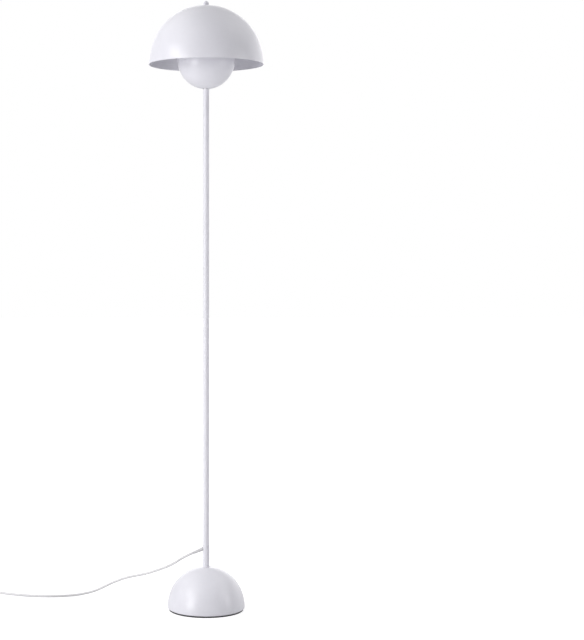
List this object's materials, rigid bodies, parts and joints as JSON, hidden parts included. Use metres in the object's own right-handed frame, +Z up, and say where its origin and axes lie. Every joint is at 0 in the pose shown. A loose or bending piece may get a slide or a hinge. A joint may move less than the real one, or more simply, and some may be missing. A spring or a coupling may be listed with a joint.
{
  "type": "floor lamp",
  "caption": "Slender floor lamp with a domed shade hung over a smaller open bowl on a straight pole, weighted half-dome base, corded foot switch and two-pin plug.",
  "frame": {"origin": "on the floor under the centre of the round base", "axes": "+Z up along the pole, -Y towards the viewer of the picture, +X to the viewer's right; the cord leaves the pole towards -X"},
  "size_m": [0.776, 0.3451, 1.235],
  "materials": {
    "white_paint": "satin",
    "foam": "matte",
    "iron": "matte",
    "zinc": "satin",
    "dark_rubber": "matte",
    "nylon": "satin",
    "brass": "satin",
    "cord_plastic": "satin",
    "holder_plastic": "matte",
    "porcelain": "gloss",
    "wire_plastic": "satin",
    "nickel": "polished",
    "black_glass": "gloss",
    "solder": "satin",
    "clear_glass": "polished",
    "phosphor": "matte",
    "switch_plastic": "satin",
    "spring_steel": "satin",
    "dark_plastic": "matte"
  },
  "bodies": {
    "lamp": {"base_pad": "foam", "base_dome": "white_paint", "base_weight": "iron", "base_washer": "zinc", "base_nut": "zinc", "base_stud": "zinc", "pole_gasket": "nylon", "pole_foot_insert": "brass", "pole_lower": "white_paint", "pole_middle": "white_paint", "pole_upper": "white_paint", "pole_couplers": "zinc", "cord_collar": "white_paint", "cord_bush": "cord_plastic", "pole_cable": "cord_plastic", "bowl_seat_washer": "zinc", "head_nipple": "zinc", "lower_bowl": "white_paint", "bowl_washer": "zinc", "shade_strap": "zinc", "bowl_nut": "zinc", "shade_stud": "zinc", "shade_cushion": "dark_rubber", "top_shade": "white_paint", "holder_base": "holder_plastic", "holder_body": "holder_plastic", "holder_insulator": "porcelain", "holder_screw_shell": "brass", "holder_centre_contact": "brass", "holder_terminals": "brass", "terminal_screws": "zinc", "holder_wires": "wire_plastic", "supply_cord": "cord_plastic", "cord_to_coil": "cord_plastic", "cord_coil": "cord_plastic", "cord_to_plug": "cord_plastic", "switch_base": "switch_plastic", "switch_cover": "switch_plastic", "switch_screws": "zinc", "switch_grommets": "cord_plastic", "switch_leads": "wire_plastic", "switch_block": "switch_plastic", "switch_terminals": "brass", "button_spring": "spring_steel", "plug_body": "switch_plastic", "plug_pins": "nickel", "plug_pin_sleeves": "dark_plastic", "plug_relief": "cord_plastic"},
    "finial_guide": {"finial_washer": "white_paint"},
    "finial": {"finial_knob": "white_paint", "finial_insert": "brass"},
    "bulb_guide": {"bulb_contact": "solder"},
    "bulb": {"bulb_cap": "nickel", "bulb_insulator": "black_glass", "bulb_glass": "clear_glass", "bulb_stem": "clear_glass", "bulb_filaments": "phosphor"},
    "foot_button": {"foot_button": "switch_plastic"}
  },
  "joints": [
    {"name": "finial_rise", "type": "slide", "parent": "lamp", "child": "finial_guide", "axis": [0, 0, 1], "range_m": [0, 0.0054]},
    {"name": "finial_turn", "type": "hinge", "parent": "finial_guide", "child": "finial", "pos_m": [0, 0, 1.2265], "axis": [0, 0, 1], "range_deg": [0, 1944.1]},
    {"name": "bulb_rise", "type": "slide", "parent": "lamp", "child": "bulb_guide", "axis": [0, 0, 1], "range_m": [0, 0.01202]},
    {"name": "bulb_turn", "type": "hinge", "parent": "bulb_guide", "child": "bulb", "pos_m": [0, 0, 1.105], "axis": [0, 0, 1], "range_deg": [0, 1534.6]},
    {"name": "button_press", "type": "slide", "parent": "lamp", "child": "foot_button", "axis": [0, 0, -1], "range_m": [0, 0.0035], "stiffness_N_per_m": 500, "springref_m": -0.005, "deforming": ["button_spring"]}
  ],
  "couplings": [
    {"joint": "finial_turn", "follows": "finial_rise", "rad_per_m": 6283.2},
    {"joint": "bulb_turn", "follows": "bulb_rise", "rad_per_m": 2228.1}
  ]
}
